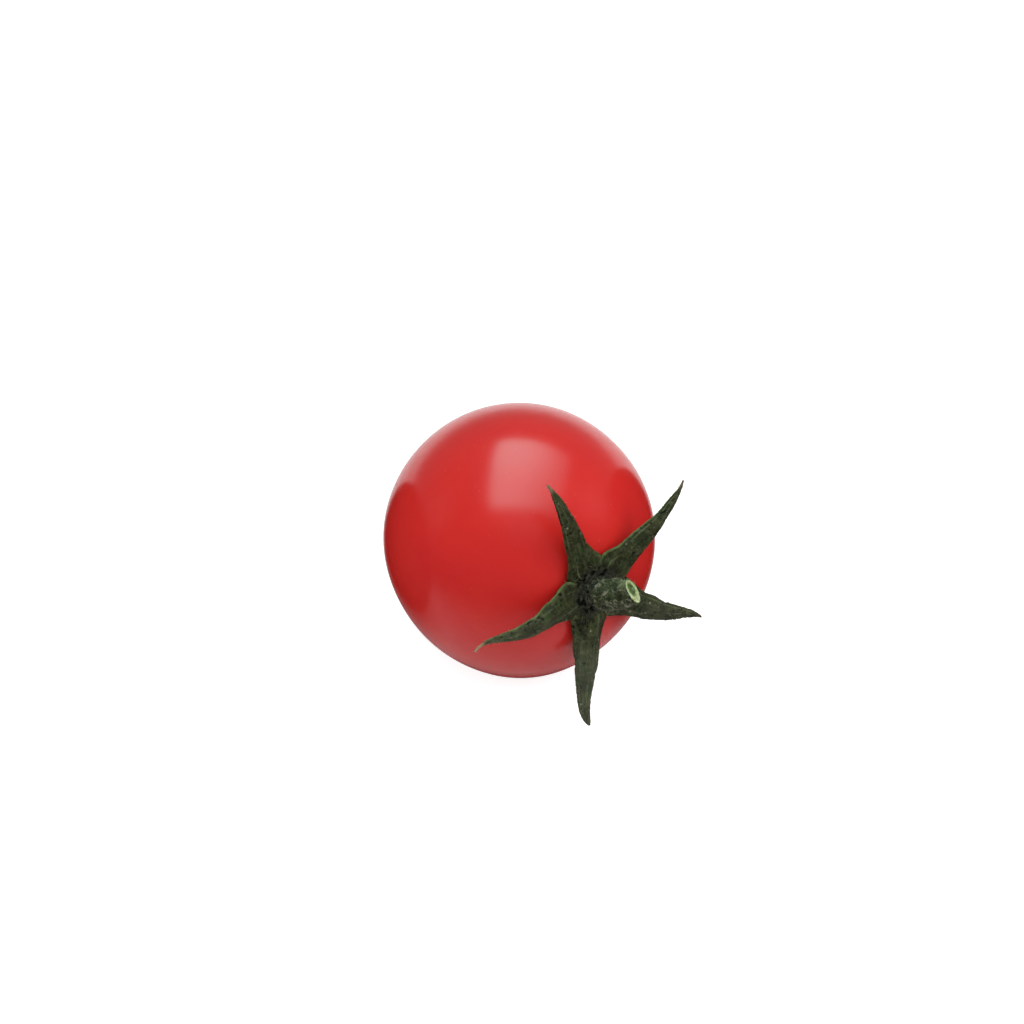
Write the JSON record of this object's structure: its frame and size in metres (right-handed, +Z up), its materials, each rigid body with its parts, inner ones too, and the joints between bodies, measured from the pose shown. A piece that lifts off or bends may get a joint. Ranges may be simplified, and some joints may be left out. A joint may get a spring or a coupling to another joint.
{
  "type": "cherry tomato",
  "caption": "Round ripe cherry tomato lying on its side, with a star of green sepals and a short cut stub of stalk.",
  "frame": {"origin": "middle of the small flat spot that the fruit rests on", "axes": "+Z up, away from the surface it lies on; the stalk end points towards +X and -Y and a little up"},
  "size_m": [0.0311, 0.032, 0.0296],
  "materials": {
    "tomato_skin": "gloss",
    "green_stalk": "matte",
    "green_sepal": "matte"
  },
  "bodies": {
    "root": {"fruit": "tomato_skin", "stem": "green_stalk", "sepal_upper_left": "green_sepal", "sepal_upper_right": "green_sepal", "sepal_right": "green_sepal", "sepal_lower": "green_sepal", "sepal_lower_left": "green_sepal"}
  },
  "joints": []
}
